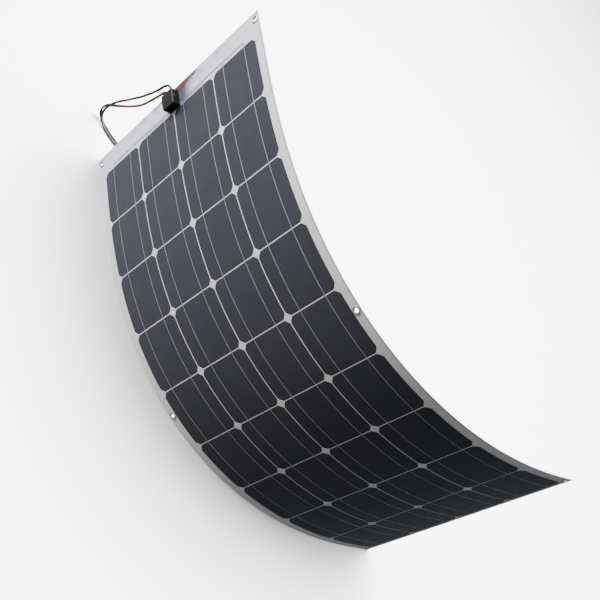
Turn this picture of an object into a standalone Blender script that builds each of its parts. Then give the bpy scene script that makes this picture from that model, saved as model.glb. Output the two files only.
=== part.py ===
"""Flexible solar sheet: a laminate of four strings of nine cells, bent into a wide arc and stood
on one long edge, with its junction box, its two leads, and an eyelet at each fixing point.

Every layer is laid out flat, by its distance along the sheet, its distance across it and its
height above the back face, and is then bent by one rule, so the layers stay parallel.
Metres, +Z up. The cells face -Y, and the junction box is at the -X end."""

import math

import bmesh
import bpy
from mathutils import Matrix, Vector

# ---------------------------------------------------------------- the sheet
ROWS = 9
COLUMNS = 4
CELL = 0.125  # side of a cell
CELL_GAP = 0.002
CELL_CUT = 0.009  # cut corner of a cell
BOX_MARGIN = 0.050  # bare sheet past the cells at the junction box
FAR_MARGIN = 0.012
SIDE_MARGIN = 0.019
CORNER_RADIUS = 0.0025
LAYER_GAP = 0.0003
WELD = 1e-6  # points this close are one point
BACK_THICKNESS = 0.0012
CELL_THICKNESS = 0.0004
FRONT_THICKNESS = 0.0004
FRONT_INSET = 0.0004  # the front film is trimmed a little inside the back sheet

# How far the sheet has turned, in radians, at a share u of the half length of the cell field:
# it is zero in the middle, and falls off towards the ends as in a strip held at both ends.
TURN_LINEAR = 1.010
TURN_SQUARE = 0.123
TURN_CUBE = -0.266
FACETS_PER_ROW = 5

# ---------------------------------------------------------------- ribbons
BUS_WIDTH = 0.004
LINK_SETBACK = 0.0035  # from the cells' edge to the middle of a link between two strings
FEED_SETBACK = 0.0085  # the same, of a ribbon that feeds the junction box
BUSBAR_INSET = 0.031  # from the side of a cell to its nearer busbar

# ---------------------------------------------------------------- eyelets
EYELET_BORE = 0.0040
EYELET_WALL = 0.0006
EYELET_FLANGE = 0.0080
EYELET_BACK_FLANGE = 0.0066
FLANGE_THICKNESS = 0.0007
EYELET_EDGE = 0.0105  # from the long edge of the sheet to the middle of an eyelet
EYELET_BOX_END = 0.0160  # the same, from the short edge beside the junction box
EYELET_MIDDLE = 0.6050  # the same, of the eyelets half way along
EYELET_FAR_END = 0.0120  # the same, from the other short edge
ROUND_SIDES = 16
ROUND_ANGLE = 40  # degrees: the edges of round pieces that are flatter than this look smooth

# ---------------------------------------------------------------- junction box
BOX_LENGTH = 0.036  # along the sheet
BOX_WIDTH = 0.034  # across the sheet
BOX_HEIGHT = 0.018
BOX_WALL = 0.0020
BOX_END = 0.0125  # from the short edge of the sheet to the box
BOX_OFFSET = 0.0065  # the middle of the box, above the middle of the sheet
LID_THICKNESS = 0.0025
LID_PLUG = 0.0030  # depth of the lid's rim inside the box
CORNER = 0.0025
BOX_ANGLE = 30  # degrees: the same for the box
EXIT_SPACING = 0.0130  # between the middles of the two leads where they leave the box
EXIT_CLEARANCE = 0.00025  # between a lead and the rim of the lid
BOARD_THICKNESS = 0.0016
BOARD_CLEARANCE = 0.0015
DIODE_RADIUS = 0.0025
DIODE_LENGTH = 0.0090

# ---------------------------------------------------------------- leads
LEAD_DIAMETER = 0.0055
LEAD_INSIDE = 0.0040  # length of a lead inside the box
LEAD_CLEARANCE = 0.0006  # round the lead in the wall of the box
COIL_CENTRE = Vector((-0.425, 0.152))
COIL_INNER_TURN = 0.0260  # radius of the black lead's turns; the red lead's lie round them
COIL_TURNS = 2
PLUG_LENGTH = 0.055
PLUG_RADIUS = 0.0080
PLUG_NUT_RADIUS = 0.0060
PLUG_WAIST_RADIUS = 0.0054
PLUG_NUT = (0.001, 0.016)  # from the back of the plug to where its nut is full, and to its end
PLUG_BODY = (0.023, 0.040)  # the same for its widest part
PLUG_SLOPE = 0.002  # length of the slope between one width and the next
PLUG_START = 0.082  # from the middle of the coil to the back of a plug
PLUG_BORE_DEPTH = 0.006
PLUG_CLEARANCE = 0.0010  # round the lead where it enters the plug
BLACK_PLUG_SIDE = 0.014  # from the middle of the coil, across it, to the middle of a plug
RED_PLUG_SIDE = 0.046
ROUTE_SPACING = 2.0  # between the points of a lead, in its diameters
ROUTE_STEPS = 24  # steps between two points of a route, before they are spaced evenly
SWING_STEPS = 7

# Where each lead runs after it has left the box, down to the floor and behind the sheet.
BLACK_ROUTE = (
    (-0.5320, 0.1032, 0.2848),
    (-0.5400, 0.1090, 0.2785),
    (-0.5460, 0.1140, 0.2630),
    (-0.5509, 0.1183, 0.2400),
    (-0.5671, 0.1334, 0.1900),
    (-0.5865, 0.1500, 0.1420),
    (-0.6080, 0.1687, 0.0920),
    (-0.6182, 0.1779, 0.0600),
    (-0.6215, 0.1826, 0.0360),
    (-0.6185, 0.1838, 0.0195),
    (-0.6085, 0.1822, 0.0095),
    (-0.5930, 0.1800, 0.0045),
    (-0.5720, 0.1790, 0.0031),
    (-0.5495, 0.1800, 0.0031),
    (-0.5200, 0.1812, 0.0031),
    (-0.4850, 0.1796, 0.0031),
)
RED_ROUTE = (
    (-0.5300, 0.1018, 0.2708),
    (-0.5345, 0.1055, 0.2615),
    (-0.5390, 0.1098, 0.2380),
    (-0.5510, 0.1208, 0.1880),
    (-0.5673, 0.1349, 0.1500),
    (-0.5885, 0.1537, 0.1100),
    (-0.6060, 0.1670, 0.0800),
    (-0.6203, 0.1719, 0.0590),
    (-0.6274, 0.1809, 0.0360),
    (-0.6255, 0.1860, 0.0170),
    (-0.6150, 0.1886, 0.0062),
    (-0.5980, 0.1874, 0.0032),
    (-0.5720, 0.1858, 0.0031),
    (-0.5495, 0.1868, 0.0031),
    (-0.5200, 0.1880, 0.0031),
    (-0.4850, 0.1864, 0.0031),
)

# ---------------------------------------------------------------- what follows from those
PITCH = CELL + CELL_GAP
SHEET_LENGTH = BOX_MARGIN + ROWS * PITCH - CELL_GAP + FAR_MARGIN
SHEET_WIDTH = COLUMNS * PITCH - CELL_GAP + 2 * SIDE_MARGIN
FIELD_START = BOX_MARGIN - CELL_GAP / 2
FIELD_HALF = ROWS * PITCH / 2
CELL_LOW = BACK_THICKNESS + LAYER_GAP
CELL_HIGH = CELL_LOW + CELL_THICKNESS
FRONT_LOW = CELL_HIGH + LAYER_GAP
FRONT_HIGH = FRONT_LOW + FRONT_THICKNESS
PIVOT_HEIGHT = BACK_THICKNESS / 2
MIDDLE_ROW = (ROWS + 1) // 2
BOX_MIDDLE = (BOX_END + BOX_LENGTH / 2, SHEET_WIDTH / 2 + BOX_OFFSET)
FLOOR_LEAD = LEAD_DIAMETER / 2 + LAYER_GAP  # height of a lead's middle on the floor
TURN_PITCH = LEAD_DIAMETER + LAYER_GAP
COIL_OUTER_TURN = COIL_INNER_TURN + LEAD_DIAMETER + 2 * LAYER_GAP
COIL_WALL = COIL_OUTER_TURN + LEAD_DIAMETER / 2 + LAYER_GAP
EXIT_HEIGHT = BOX_HEIGHT - LID_THICKNESS - LID_PLUG - EXIT_CLEARANCE - LEAD_DIAMETER / 2
COIL_HOLE = COIL_INNER_TURN - LEAD_DIAMETER / 2 - LAYER_GAP
COIL_TOP = FLOOR_LEAD + COIL_TURNS * TURN_PITCH
COIL_HEIGHT = COIL_TOP + LEAD_DIAMETER / 2 + LAYER_GAP


class BentSheet:
    """The rule that bends the flat layout. The sheet is flat between one station and the next."""

    def __init__(self):
        steps = ROWS * FACETS_PER_ROW
        field = [FIELD_START + i * PITCH / FACETS_PER_ROW for i in range(steps + 1)]
        self.stations = [0.0, *field, SHEET_LENGTH]
        middles = [(a + b) / 2 for a, b in zip(self.stations, self.stations[1:])]
        self.turns = [self.turn_at(middle) for middle in middles]
        self.points = [Vector((0.0, 0.0))]
        for i, turn in enumerate(self.turns):
            length = self.stations[i + 1] - self.stations[i]
            step = Vector((math.cos(turn), math.sin(turn))) * length
            self.points.append(self.points[-1] + step)
        centre = self.middle_of_extremes()
        self.points = [point - centre for point in self.points]

    @staticmethod
    def turn_at(along):
        share = (along - FIELD_START - FIELD_HALF) / FIELD_HALF
        return share * (TURN_LINEAR + share * (TURN_SQUARE + share * TURN_CUBE))

    def facet_of(self, along):
        for i in range(len(self.turns) - 1):
            if along < self.stations[i + 1]:
                return i
        return len(self.turns) - 1

    def outward(self, facet):
        """The direction the cells face, on one facet."""
        return Vector((math.sin(self.turns[facet]), -math.cos(self.turns[facet])))

    def mitre(self, station):
        """The offset at a fold that keeps both facets the same height off the back face."""
        before = self.outward(max(station - 1, 0))
        after = self.outward(min(station, len(self.turns) - 1))
        return (before + after) / (1 + before.dot(after))

    def place(self, along, across, height):
        facet = self.facet_of(along)
        start, end = self.stations[facet], self.stations[facet + 1]
        share = (along - start) / (end - start)
        low = self.points[facet] + self.mitre(facet) * height
        high = self.points[facet + 1] + self.mitre(facet + 1) * height
        spot = low + (high - low) * share
        return Vector((spot.x, spot.y, across))

    def frame(self, along, across, height):
        """A matrix with X along the sheet, Y across it and Z outward, at one place."""
        facet = self.facet_of(along)
        out = self.outward(facet)
        columns = (
            Vector((-out.y, out.x, 0.0)),
            Vector((0.0, 0.0, 1.0)),
            Vector((out.x, out.y, 0.0)),
        )
        turned = Matrix(columns).transposed().to_4x4()
        return Matrix.Translation(self.place(along, across, height)) @ turned

    def middle_of_extremes(self):
        """The middle, seen from above, of the box that holds the sheet and what stands on it."""
        flange_top = FRONT_HIGH + LAYER_GAP + FLANGE_THICKNESS
        lid_top = FRONT_HIGH + LAYER_GAP + BOX_HEIGHT
        spots = (
            (0.0, 0.0),
            (FRONT_INSET, FRONT_HIGH),
            (SHEET_LENGTH, 0.0),
            (SHEET_LENGTH - FRONT_INSET, FRONT_HIGH),
            (BOX_END, lid_top),
            (EYELET_MIDDLE, flange_top),
        )
        ends = [self.place(along, 0.0, height) for along, height in spots]
        xs, ys = [end.x for end in ends], [end.y for end in ends]
        return Vector(((min(xs) + max(xs)) / 2, (min(ys) + max(ys)) / 2))


def row_start(row):
    """Where a row begins, in the middle of the gap before it. Rows count from 1 at the box."""
    return FIELD_START + (row - 1) * PITCH


def row_middle(row):
    return row_start(row) + PITCH / 2


# ---------------------------------------------------------------- helpers
def clear_scene():
    for thing in list(bpy.data.objects):
        bpy.data.objects.remove(thing, do_unlink=True)


def finish(name, colour, roughness, metallic=0.0, alpha=1.0):
    material = bpy.data.materials.new(name)
    material.use_nodes = True
    shader = material.node_tree.nodes["Principled BSDF"]
    shader.inputs["Base Color"].default_value = (*colour, 1.0)
    shader.inputs["Roughness"].default_value = roughness
    shader.inputs["Metallic"].default_value = metallic
    shader.inputs["Alpha"].default_value = alpha
    return material


def object_from(name, bm, material, smooth_angle=None):
    bmesh.ops.recalc_face_normals(bm, faces=bm.faces)
    mesh = bpy.data.meshes.new(name)
    bm.to_mesh(mesh)
    bm.free()
    mesh.materials.append(material)
    if smooth_angle:
        mesh.shade_smooth()
        mesh.set_sharp_from_angle(angle=math.radians(smooth_angle))
    thing = bpy.data.objects.new(name, mesh)
    bpy.context.scene.collection.objects.link(thing)
    return thing


def apply_modifiers(thing):
    graph = bpy.context.evaluated_depsgraph_get()
    mesh = bpy.data.meshes.new_from_object(thing.evaluated_get(graph))
    thing.modifiers.clear()
    thing.data = mesh


def cut(thing, cutter):
    modifier = thing.modifiers.new("cut", "BOOLEAN")
    modifier.operation = "DIFFERENCE"
    modifier.solver = "EXACT"
    modifier.object = cutter
    apply_modifiers(thing)


def drop(thing):
    bpy.data.objects.remove(thing, do_unlink=True)


def rounded_rectangle(low, high, radius, steps=4):
    """The outline, anticlockwise, of a rectangle with round corners."""
    corners = (
        (high[0] - radius, high[1] - radius),
        (low[0] + radius, high[1] - radius),
        (low[0] + radius, low[1] + radius),
        (high[0] - radius, low[1] + radius),
    )
    outline = []
    for quarter, (x, y) in enumerate(corners):
        for step in range(steps + 1):
            angle = math.radians(90 * (quarter + step / steps))
            outline.append((x + radius * math.cos(angle), y + radius * math.sin(angle)))
    return outline


def cell_outline(low):
    """A square with its corners cut off, anticlockwise."""
    x, y = low
    near, far = CELL_CUT, CELL - CELL_CUT
    return [
        (x + near, y),
        (x + far, y),
        (x + CELL, y + near),
        (x + CELL, y + far),
        (x + far, y + CELL),
        (x + near, y + CELL),
        (x, y + far),
        (x, y + near),
    ]


def slab(outline, low, high):
    """A flat plate with this outline, between two heights."""
    bm = bmesh.new()
    face = bm.faces.new([bm.verts.new((x, y, low)) for x, y in outline])
    grown = bmesh.ops.extrude_face_region(bm, geom=[face])
    tops = [item for item in grown["geom"] if isinstance(item, bmesh.types.BMVert)]
    bmesh.ops.translate(bm, verts=tops, vec=(0, 0, high - low))
    return bm


def turned(profile, sides, ring):
    """A profile of (radius, height) points turned about Z: a closed profile gives a ring, and
    one that starts and ends on the axis gives a solid."""
    bm = bmesh.new()
    verts = [bm.verts.new((radius, 0.0, height)) for radius, height in profile]
    pairs = list(zip(verts, verts[1:]))
    if ring:
        pairs.append((verts[-1], verts[0]))
    edges = [bm.edges.new(pair) for pair in pairs]
    bmesh.ops.spin(
        bm,
        geom=verts + edges,
        cent=(0, 0, 0),
        axis=(0, 0, 1),
        angle=2 * math.pi,
        steps=sides,
        use_merge=True,
        use_duplicate=False,
    )
    bmesh.ops.remove_doubles(bm, verts=bm.verts, dist=WELD)
    return bm


def bent(sheet, bm):
    """Folds a flat layout: cuts it at each station, then moves every point to its place."""
    along = [vert.co.x for vert in bm.verts]
    for station in sheet.stations:
        if min(along) + 1e-6 < station < max(along) - 1e-6:
            bmesh.ops.bisect_plane(
                bm,
                geom=list(bm.verts) + list(bm.edges) + list(bm.faces),
                dist=WELD / 10,
                plane_co=(station, 0, 0),
                plane_no=(1, 0, 0),
            )
    for vert in bm.verts:
        vert.co = sheet.place(*vert.co)
    return bm


# ---------------------------------------------------------------- rows that the pieces ride on
class Rows:
    """One empty for each row, on the fold that the row turns about. Row 5 stays where it is."""

    def __init__(self, sheet):
        self.empties = {}
        for row in range(1, ROWS + 1):
            empty = bpy.data.objects.new(f"pivot_row_{row}", None)
            bpy.context.scene.collection.objects.link(empty)
            empty.location = self.pivot(sheet, row)
            self.empties[row] = empty
        for row, empty in self.empties.items():
            if row != MIDDLE_ROW:
                inner = row + 1 if row < MIDDLE_ROW else row - 1
                self.hang(empty, inner)

    @staticmethod
    def pivot(sheet, row):
        if row == MIDDLE_ROW:
            return Vector((0.0, 0.0, 0.0))
        fold = row_start(row + 1) if row < MIDDLE_ROW else row_start(row)
        return sheet.place(fold, 0.0, PIVOT_HEIGHT)

    def hang(self, thing, row):
        """Parents a piece to a row's empty, and leaves it where it is."""
        bpy.context.view_layer.update()
        empty = self.empties[row]
        thing.location = thing.matrix_world.translation - empty.matrix_world.translation
        thing.parent = empty


# ---------------------------------------------------------------- the laminate
def eyelet_places():
    """(name, row, along, across) of each eyelet: the four corners and the middle of each side."""
    sides = (("low", EYELET_EDGE), ("high", SHEET_WIDTH - EYELET_EDGE))
    ends = (
        ("box_end", 1, EYELET_BOX_END),
        ("middle", MIDDLE_ROW, EYELET_MIDDLE),
        ("far_end", ROWS, SHEET_LENGTH - EYELET_FAR_END),
    )
    for end, row, along in ends:
        for side, across in sides:
            yield f"eyelet_{end}_{side}", row, along, across


def eyelet_punch():
    """The tool that makes the sheet's holes: one peg for each eyelet."""
    bm = bmesh.new()
    radius = EYELET_BORE + EYELET_WALL + LAYER_GAP
    for _, _, along, across in eyelet_places():
        bmesh.ops.create_cone(
            bm,
            cap_ends=True,
            segments=ROUND_SIDES,
            radius1=radius,
            radius2=radius,
            depth=4 * FRONT_HIGH,
            matrix=Matrix.Translation((along, across, FRONT_HIGH / 2)),
        )
    return bm


def film(sheet, name, inset, low, high, material):
    """One of the two continuous sheets, with its eyelet holes."""
    outline = rounded_rectangle(
        (inset, inset),
        (SHEET_LENGTH - inset, SHEET_WIDTH - inset),
        CORNER_RADIUS - inset,
    )
    plate = object_from(name, slab(outline, low, high), material)
    punch = object_from("punch", eyelet_punch(), material)
    cut(plate, punch)
    drop(punch)
    bm = bmesh.new()
    bm.from_mesh(plate.data)
    bent(sheet, bm)
    bm.to_mesh(plate.data)
    bm.free()
    return plate


def make_films(sheet, rows, materials):
    back = film(sheet, "back_sheet", 0.0, 0.0, BACK_THICKNESS, materials["back_sheet"])
    front = film(
        sheet, "front_sheet", FRONT_INSET, FRONT_LOW, FRONT_HIGH, materials["front_film"]
    )
    rows.hang(back, MIDDLE_ROW)
    rows.hang(front, MIDDLE_ROW)


def make_cells(sheet, rows, material):
    for row in range(1, ROWS + 1):
        for column in range(1, COLUMNS + 1):
            low = (
                BOX_MARGIN + (row - 1) * PITCH,
                SIDE_MARGIN + (column - 1) * PITCH,
            )
            bm = bent(sheet, slab(cell_outline(low), CELL_LOW, CELL_HIGH))
            cell = object_from(f"cell_row{row}_string{column}", bm, material)
            rows.hang(cell, row)


def busbar_across(column, bar):
    """Where a busbar runs: bar 0 is the lower one of its string, bar 1 the upper one."""
    start = SIDE_MARGIN + (column - 1) * PITCH
    return start + (CELL - BUSBAR_INSET if bar else BUSBAR_INSET)


def make_ribbon(sheet, rows, name, row, along, ends, material):
    half = BUS_WIDTH / 2
    outline = [
        (along - half, ends[0]),
        (along + half, ends[0]),
        (along + half, ends[1]),
        (along - half, ends[1]),
    ]
    bm = bent(sheet, slab(outline, CELL_LOW, CELL_HIGH))
    rows.hang(object_from(name, bm, material), row)


def make_ribbons(sheet, rows, material):
    """Two feeds and a link at the box end, and two links at the far end, join the strings."""
    half = BUS_WIDTH / 2
    first, last = BOX_MARGIN, SHEET_LENGTH - FAR_MARGIN
    middle = BOX_MIDDLE[1]
    feed, near, far = first - FEED_SETBACK, first - LINK_SETBACK, last + LINK_SETBACK
    outer = (busbar_across(1, 0) - half, busbar_across(COLUMNS, 1) + half)
    inner = (busbar_across(2, 0) - half, busbar_across(3, 1) + half)
    lower = (busbar_across(1, 0) - half, busbar_across(2, 1) + half)
    upper = (busbar_across(3, 0) - half, busbar_across(4, 1) + half)
    gap = EXIT_SPACING / 2
    make_ribbon(sheet, rows, "feed_ribbon_low", 1, feed, (outer[0], middle - gap), material)
    make_ribbon(sheet, rows, "feed_ribbon_high", 1, feed, (middle + gap, outer[1]), material)
    make_ribbon(sheet, rows, "link_ribbon_box_end", 1, near, inner, material)
    make_ribbon(sheet, rows, "link_ribbon_far_low", ROWS, far, lower, material)
    make_ribbon(sheet, rows, "link_ribbon_far_high", ROWS, far, upper, material)


def make_eyelets(sheet, rows, material):
    top = FRONT_HIGH + LAYER_GAP
    crown = top + FLANGE_THICKNESS
    foot = -LAYER_GAP
    toe = foot - FLANGE_THICKNESS
    roll = FLANGE_THICKNESS / 2
    barrel = EYELET_BORE + EYELET_WALL
    profile = (
        (barrel, top),
        (EYELET_FLANGE, top),
        (EYELET_FLANGE, top + roll),
        (EYELET_FLANGE - roll, crown),
        (EYELET_BORE + roll, crown),
        (EYELET_BORE, top),
        (EYELET_BORE, foot),
        (EYELET_BORE + roll, toe),
        (EYELET_BACK_FLANGE, toe),
        (EYELET_BACK_FLANGE, foot),
        (barrel, foot),
    )
    for name, row, along, across in eyelet_places():
        eyelet = object_from(name, turned(profile, ROUND_SIDES, True), material, ROUND_ANGLE)
        eyelet.matrix_world = sheet.frame(along, across, 0.0)
        rows.hang(eyelet, row)


# ---------------------------------------------------------------- the junction box
def box_frame(sheet):
    """The foot of the box: X along the sheet, Y across it, Z away from it."""
    return sheet.frame(*BOX_MIDDLE, FRONT_HIGH + LAYER_GAP)


def exit_across(side):
    """Across the box, from its middle: the black lead leaves on the high side."""
    return side * EXIT_SPACING / 2


def make_box_base(sheet, rows, material):
    half = (BOX_LENGTH / 2, BOX_WIDTH / 2)
    rim = BOX_HEIGHT - LID_THICKNESS - LAYER_GAP
    outside = rounded_rectangle((-half[0], -half[1]), half, CORNER)
    inner = (half[0] - BOX_WALL, half[1] - BOX_WALL)
    inside = rounded_rectangle((-inner[0], -inner[1]), inner, CORNER - BOX_WALL / 2)
    base = object_from("junction_box_base", slab(outside, 0.0, rim), material, BOX_ANGLE)
    hollow = object_from("hollow", slab(inside, BOX_WALL, 2 * rim), material)
    cut(base, hollow)
    drop(hollow)
    for side in (-1, 1):
        bm = bmesh.new()
        spot = (-half[0], exit_across(side), EXIT_HEIGHT)
        radius = LEAD_DIAMETER / 2 + LEAD_CLEARANCE
        bmesh.ops.create_cone(
            bm,
            cap_ends=True,
            segments=ROUND_SIDES,
            radius1=radius,
            radius2=radius,
            depth=4 * BOX_WALL,
            matrix=Matrix.Translation(spot) @ Matrix.Rotation(math.pi / 2, 4, "Y"),
        )
        drill = object_from("drill", bm, material)
        cut(base, drill)
        drop(drill)
    base.matrix_world = box_frame(sheet)
    rows.hang(base, 1)


def make_box_lid(sheet, rows, material):
    half = (BOX_LENGTH / 2, BOX_WIDTH / 2)
    under = BOX_HEIGHT - LID_THICKNESS
    clear = BOX_WALL + LAYER_GAP
    plug = (half[0] - clear, half[1] - clear)
    bm = slab(rounded_rectangle((-half[0], -half[1]), half, CORNER), under, BOX_HEIGHT)
    top = [
        edge
        for edge in bm.edges
        if all(abs(vert.co.z - BOX_HEIGHT) < WELD for vert in edge.verts)
    ]
    bmesh.ops.bevel(
        bm,
        geom=top,
        offset=LID_THICKNESS / 3,
        segments=2,
        profile=0.5,
        affect="EDGES",
        material=-1,
    )
    lid = object_from("junction_box_lid", bm, material, BOX_ANGLE)
    outline = rounded_rectangle((-plug[0], -plug[1]), plug, CORNER - BOX_WALL / 2)
    rim = object_from("rim", slab(outline, under - LID_PLUG, under + LAYER_GAP), material)
    join = lid.modifiers.new("join", "BOOLEAN")
    join.operation = "UNION"
    join.solver = "EXACT"
    join.object = rim
    apply_modifiers(lid)
    drop(rim)
    inner = (plug[0] - BOX_WALL, plug[1] - BOX_WALL)
    outline = rounded_rectangle((-inner[0], -inner[1]), inner, CORNER / 2)
    relief = slab(outline, 0.0, under)
    cutter = object_from("relief", relief, material)
    cut(lid, cutter)
    drop(cutter)
    lid.matrix_world = box_frame(sheet)
    rows.hang(lid, 1)


def make_box_insides(sheet, rows, materials):
    """A board that the ribbons are soldered to, and the diode that lets current pass a
    shaded string."""
    gap = BOX_WALL + BOARD_CLEARANCE
    half = (BOX_LENGTH / 2 - gap, BOX_WIDTH / 2 - gap)
    low = BOX_WALL + LAYER_GAP
    bm = slab(
        rounded_rectangle((-half[0], -half[1]), half, CORNER / 2, 2), low, low + BOARD_THICKNESS
    )
    board = object_from("terminal_board", bm, materials["board"])
    bm = bmesh.new()
    height = low + BOARD_THICKNESS + LAYER_GAP + DIODE_RADIUS
    bmesh.ops.create_cone(
        bm,
        cap_ends=True,
        segments=ROUND_SIDES,
        radius1=DIODE_RADIUS,
        radius2=DIODE_RADIUS,
        depth=DIODE_LENGTH,
        matrix=Matrix.Translation((half[0] / 2, 0, height)) @ Matrix.Rotation(math.pi / 2, 4, "X"),
    )
    diode = object_from("bypass_diode", bm, materials["diode"], ROUND_ANGLE)
    for piece in (board, diode):
        piece.matrix_world = box_frame(sheet)
        rows.hang(piece, 1)


# ---------------------------------------------------------------- leads
def smooth_through(points, spacing):
    """Points a fixed distance apart on a Catmull-Rom curve through the route's own points."""
    points = [Vector(point) for point in points]
    padded = [2 * points[0] - points[1], *points, 2 * points[-1] - points[-2]]
    fine = []
    for a, b, c, d in zip(padded, padded[1:], padded[2:], padded[3:]):
        for step in range(ROUTE_STEPS):
            t = step / ROUTE_STEPS
            pull = (c - a) * t + (2 * a - 5 * b + 4 * c - d) * t**2
            fine.append(b + 0.5 * (pull + (3 * b - a - 3 * c + d) * t**3))
    fine.append(points[-1])
    lengths = [(b - a).length for a, b in zip(fine, fine[1:])]
    count = max(2, round(sum(lengths) / spacing))
    step, done, spots = sum(lengths) / count, 0.0, [fine[0]]
    for start, end, length in zip(fine, fine[1:], lengths):
        while len(spots) < count and done + length >= step * len(spots):
            share = (step * len(spots) - done) / length
            spots.append(start.lerp(end, share))
        done += length
    spots.append(fine[-1])
    return spots


def tube(name, points, material):
    curve = bpy.data.curves.new(name, "CURVE")
    curve.dimensions = "3D"
    curve.bevel_depth = LEAD_DIAMETER / 2
    curve.bevel_resolution = 2
    curve.use_fill_caps = True
    spots = smooth_through(points, ROUTE_SPACING * LEAD_DIAMETER)
    spline = curve.splines.new("POLY")
    spline.points.add(len(spots) - 1)
    for point, spot in zip(spline.points, spots):
        point.co = (*spot, 1.0)
    curve.materials.append(material)
    thing = bpy.data.objects.new(name, curve)
    bpy.context.scene.collection.objects.link(thing)
    return thing


def coil_reach(turn_radius):
    """How far before the middle of the coil a lead that runs along its turn meets the coil."""
    near_side = turn_radius - LEAD_DIAMETER / 2
    return math.sqrt(COIL_WALL**2 - near_side**2) + LAYER_GAP


def sideways_bend(start, end):
    """A route along X that swings from one line to another, and is straight at both ends."""
    spots = []
    for step in range(SWING_STEPS + 1):
        share = step / SWING_STEPS
        eased = share * share * (3 - 2 * share)
        spot = start.lerp(end, eased)
        spot.x = start.x + (end.x - start.x) * share
        spots.append(spot)
    return spots


def make_leads(sheet, rows, materials):
    """Each lead leaves the box, lies on the floor behind the sheet, is wound into the coil, and
    leaves the coil again for its plug."""
    leads = (
        ("black", 1, BLACK_ROUTE, COIL_INNER_TURN, BLACK_PLUG_SIDE),
        ("red", -1, RED_ROUTE, COIL_OUTER_TURN, RED_PLUG_SIDE),
    )
    for colour, side, route, turn, plug_across in leads:
        frame = box_frame(sheet)
        wall = -BOX_LENGTH / 2
        start = frame @ Vector((wall + BOX_WALL + LEAD_INSIDE, exit_across(side), EXIT_HEIGHT))
        mouth = frame @ Vector((wall, exit_across(side), EXIT_HEIGHT))
        clear = frame @ Vector((wall - LEAD_DIAMETER, exit_across(side), EXIT_HEIGHT))
        line = COIL_CENTRE.y + turn
        reach = coil_reach(turn)
        stop = Vector((COIL_CENTRE.x - reach, line, FLOOR_LEAD))
        lead = tube(f"lead_{colour}", [start, mouth, clear, *route, stop], materials[colour])
        rows.hang(lead, 1)

        back = Vector((COIL_CENTRE.x + PLUG_START, COIL_CENTRE.y + plug_across, PLUG_RADIUS))
        back.z += LAYER_GAP
        leave = Vector((COIL_CENTRE.x + reach, line, COIL_TOP))
        entry = back + Vector((PLUG_BORE_DEPTH - LAYER_GAP, 0, 0))
        route = [*sideways_bend(leave, back), entry]
        tail = tube(f"tail_{colour}", route, materials[colour])
        rows.hang(tail, 1)
        plug = make_plug(f"plug_{colour}", materials["plug"])
        turned = Matrix.Rotation(math.pi / 2, 4, "Y")
        plug.matrix_world = Matrix.Translation(back) @ turned
        rows.hang(plug, 1)


def make_plug(name, material):
    """A push-lock plug, turned about its length, with a blind hole for the lead in its back."""
    hole = LEAD_DIAMETER / 2 + PLUG_CLEARANCE
    chamfer = PLUG_NUT[0]
    profile = (
        (0.0, PLUG_BORE_DEPTH),
        (hole, PLUG_BORE_DEPTH),
        (hole, 0.0),
        (PLUG_NUT_RADIUS - chamfer, 0.0),
        (PLUG_NUT_RADIUS, chamfer),
        (PLUG_NUT_RADIUS, PLUG_NUT[1]),
        (PLUG_WAIST_RADIUS, PLUG_NUT[1] + PLUG_SLOPE),
        (PLUG_WAIST_RADIUS, PLUG_BODY[0] - PLUG_SLOPE),
        (PLUG_RADIUS, PLUG_BODY[0]),
        (PLUG_RADIUS, PLUG_BODY[1]),
        (PLUG_WAIST_RADIUS, PLUG_BODY[1] + PLUG_SLOPE),
        (PLUG_WAIST_RADIUS, PLUG_LENGTH),
        (0.0, PLUG_LENGTH),
    )
    return object_from(name, turned(profile, ROUND_SIDES, False), material, ROUND_ANGLE)


def make_coil(rows, material):
    profile = (
        (COIL_HOLE, 0.0),
        (COIL_WALL, 0.0),
        (COIL_WALL, COIL_HEIGHT),
        (COIL_HOLE, COIL_HEIGHT),
    )
    coil = object_from("lead_coil", turned(profile, 2 * ROUND_SIDES, True), material, ROUND_ANGLE)
    coil.location = (COIL_CENTRE.x, COIL_CENTRE.y, 0.0)
    rows.hang(coil, 1)


def main():
    clear_scene()
    materials = {
        "back_sheet": finish("back_sheet", (0.86, 0.86, 0.88), 0.45),
        "front_film": finish("front_film", (0.90, 0.90, 0.94), 0.25, alpha=0.25),
        "cell": finish("cell", (0.045, 0.050, 0.075), 0.30),
        "ribbon": finish("ribbon", (0.72, 0.72, 0.74), 0.35, 1.0),
        "eyelet": finish("eyelet", (0.75, 0.75, 0.74), 0.30, 1.0),
        "box": finish("box", (0.030, 0.030, 0.033), 0.45),
        "board": finish("board", (0.05, 0.20, 0.10), 0.50),
        "diode": finish("diode", (0.02, 0.02, 0.02), 0.40),
        "black": finish("lead_black", (0.020, 0.020, 0.022), 0.45),
        "red": finish("lead_red", (0.30, 0.03, 0.04), 0.45),
        "plug": finish("plug", (0.020, 0.020, 0.022), 0.40),
    }
    sheet = BentSheet()
    rows = Rows(sheet)
    make_films(sheet, rows, materials)
    make_cells(sheet, rows, materials["cell"])
    make_ribbons(sheet, rows, materials["ribbon"])
    make_eyelets(sheet, rows, materials["eyelet"])
    make_box_base(sheet, rows, materials["box"])
    make_box_lid(sheet, rows, materials["box"])
    make_box_insides(sheet, rows, materials)
    make_leads(sheet, rows, materials)
    make_coil(rows, materials["black"])
    for row, empty in rows.empties.items():
        turn = math.degrees(sheet.turn_at(row_middle(row)))
        where = ", ".join(f"{value:.5f}" for value in empty.matrix_world.translation)
        print(f"row {row}: pivot ({where}), turned {turn:.2f} degrees")


main()
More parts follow.
